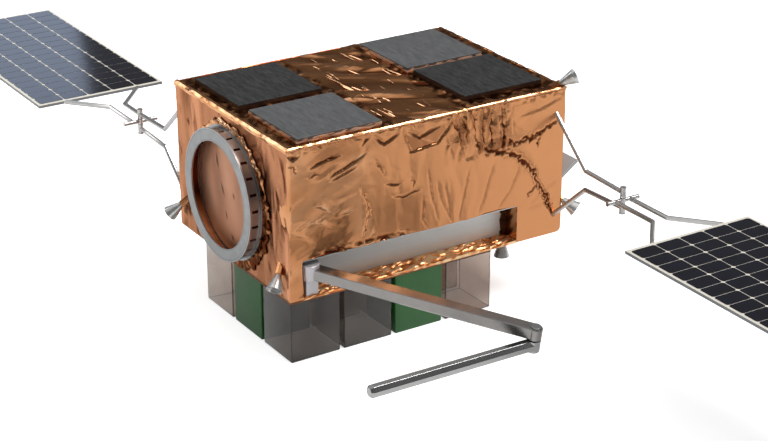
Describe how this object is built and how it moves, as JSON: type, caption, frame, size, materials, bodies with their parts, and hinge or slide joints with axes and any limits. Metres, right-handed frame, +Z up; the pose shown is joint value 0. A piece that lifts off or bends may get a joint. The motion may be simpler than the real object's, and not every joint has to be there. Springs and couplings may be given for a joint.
{
  "type": "servicing satellite",
  "caption": "Foil-wrapped satellite with a launch ring, solar wings on universal joints, a folding arm in a side recess and storage boxes below.",
  "frame": {"origin": "on the floor under the middle of the bus, level with the storage boxes' underside", "axes": "+X along the bus away from the launch ring, +Y along the solar wings away from the arm's side, +Z up"},
  "size_m": [3.122, 8.79, 1.6746],
  "materials": {
    "foil": "gloss",
    "liner": "satin",
    "ring_metal": "satin",
    "plate_grey": "satin",
    "plate_dark": "matte",
    "carrier": "satin",
    "arm_metal": "satin",
    "arm_bright": "gloss",
    "antenna": "satin",
    "nozzle": "satin",
    "box_green": "gloss",
    "box_clear": "gloss",
    "strut": "satin",
    "panel_core": "satin",
    "cells": "gloss"
  },
  "bodies": {
    "bus": {"bus_body": "foil", "recess_liner": "liner", "adapter_ring": "ring_metal", "ring_collar": "foil", "plate_seats": "foil", "deck_plate_grey_ring_near": "plate_grey", "deck_plate_grey_rear_far": "plate_grey", "deck_plate_dark_ring_far": "plate_dark", "deck_plate_dark_rear_near": "plate_dark", "box_carrier": "carrier", "arm_shoulder_bracket": "arm_metal", "rear_antenna": "antenna", "thruster_nozzles": "nozzle", "thruster_stems": "foil", "box_clear_1_1": "box_clear", "box_green_1_2": "box_green", "box_clear_1_3": "box_clear", "box_clear_2_1": "box_clear", "box_clear_2_2": "box_clear", "box_clear_2_3": "box_clear", "box_green_3_1": "box_green", "box_clear_3_2": "box_clear", "box_clear_3_3": "box_clear", "box_clear_4_1": "box_clear", "box_clear_4_2": "box_clear", "box_green_4_3": "box_green", "wing_yoke_near": "strut", "wing_yoke_far": "strut"},
    "gimbal_near": {"wing_gimbal_near": "strut"},
    "gimbal_far": {"wing_gimbal_far": "strut"},
    "wing_near": {"wing_fork_near": "strut", "panel_near": "panel_core", "solar_cells_near": "cells"},
    "wing_far": {"wing_fork_far": "strut", "panel_far": "panel_core", "solar_cells_far": "cells"},
    "upper_arm": {"arm_upper": "arm_metal"},
    "forearm": {"arm_forearm": "arm_bright"}
  },
  "joints": [
    {"name": "wing_near_azimuth", "type": "hinge", "parent": "bus", "child": "gimbal_near", "pos_m": [1.0435, -1.549, 0.981], "axis": [0, 0, 1], "range_deg": [-25, 25]},
    {"name": "wing_near_elevation", "type": "hinge", "parent": "gimbal_near", "child": "wing_near", "pos_m": [1.0435, -1.549, 0.981], "axis": [-1, 0, 0], "range_deg": [-15, 90]},
    {"name": "wing_far_azimuth", "type": "hinge", "parent": "bus", "child": "gimbal_far", "pos_m": [-1.0435, 1.549, 0.981], "axis": [0, 0, 1], "range_deg": [-25, 25]},
    {"name": "wing_far_elevation", "type": "hinge", "parent": "gimbal_far", "child": "wing_far", "pos_m": [-1.0435, 1.549, 0.981], "axis": [1, 0, 0], "range_deg": [-15, 90]},
    {"name": "arm_shoulder", "type": "hinge", "parent": "bus", "child": "upper_arm", "pos_m": [-0.9345, -0.724, 0.623], "axis": [0, -0.1736, 0.9848], "range_deg": [-45, 51]},
    {"name": "arm_elbow", "type": "hinge", "parent": "upper_arm", "child": "forearm", "pos_m": [0.05416, -1.92635, 0.41099], "axis": [0, 0.1736, -0.9848], "range_deg": [-90, 50]}
  ]
}
